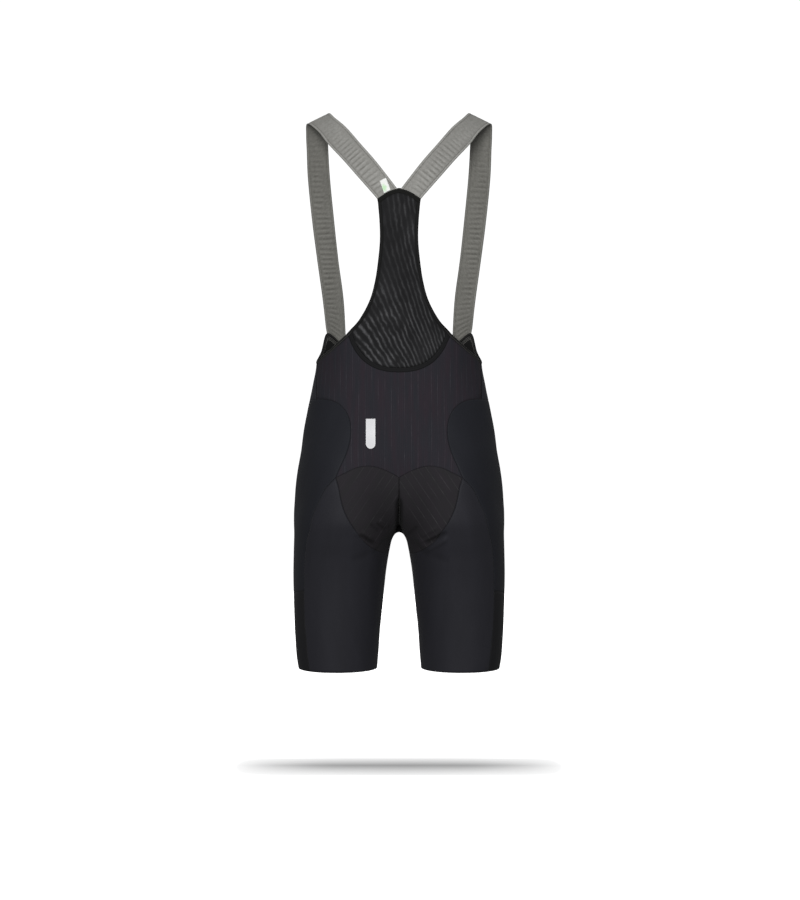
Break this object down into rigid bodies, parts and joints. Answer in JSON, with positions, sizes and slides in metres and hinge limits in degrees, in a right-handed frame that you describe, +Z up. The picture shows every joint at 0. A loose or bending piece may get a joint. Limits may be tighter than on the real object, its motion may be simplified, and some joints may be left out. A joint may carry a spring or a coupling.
{
  "type": "cycling bib shorts",
  "caption": "Cycling bib shorts in worn, hollow form: black panelled shorts, mesh back and grey elastic shoulder straps.",
  "frame": {"origin": "midway between the tops of the two shoulder straps, level with the middle of their inner faces, where shoulders carry the garment", "axes": "+Z up; the garment's front faces -Y and its back +Y; +X is the wearer's left"},
  "size_m": [0.348, 0.2328, 0.9134],
  "materials": {
    "knit": "smooth black warp knit with a soft sheen",
    "pinstripe": "purplish black knit with fine upright pinstripes",
    "seat": "dark ribbed knit with slanting pinstripes",
    "side": "bluish black matt knit",
    "grip": "black matt knit, darker than the leg",
    "mesh": "black double mesh with moire streaks",
    "binding": "black elastic binding",
    "elastic": "grey woven elastic with cross ripples",
    "reflective": "plain light grey reflective film on cloth",
    "label": "plain white satin with a pale green corner"
  },
  "bodies": {
    "root": {"back_mesh": "mesh", "yoke_band": "binding", "mesh_band": "binding", "back_edge_left": "binding", "back_edge_right": "binding", "front_edge": "binding", "lumbar_panel": "pinstripe", "front_bib": "knit", "side_panel_left": "side", "side_panel_right": "side", "side_lower_left": "grip", "side_lower_right": "grip", "seat_left": "seat", "seat_right": "seat", "leg_back_left": "knit", "leg_back_right": "knit", "leg_front_left": "knit", "leg_front_right": "knit", "strap_left": "elastic", "strap_right": "elastic", "reflective_tab": "reflective", "care_label": "label"}
  },
  "joints": []
}
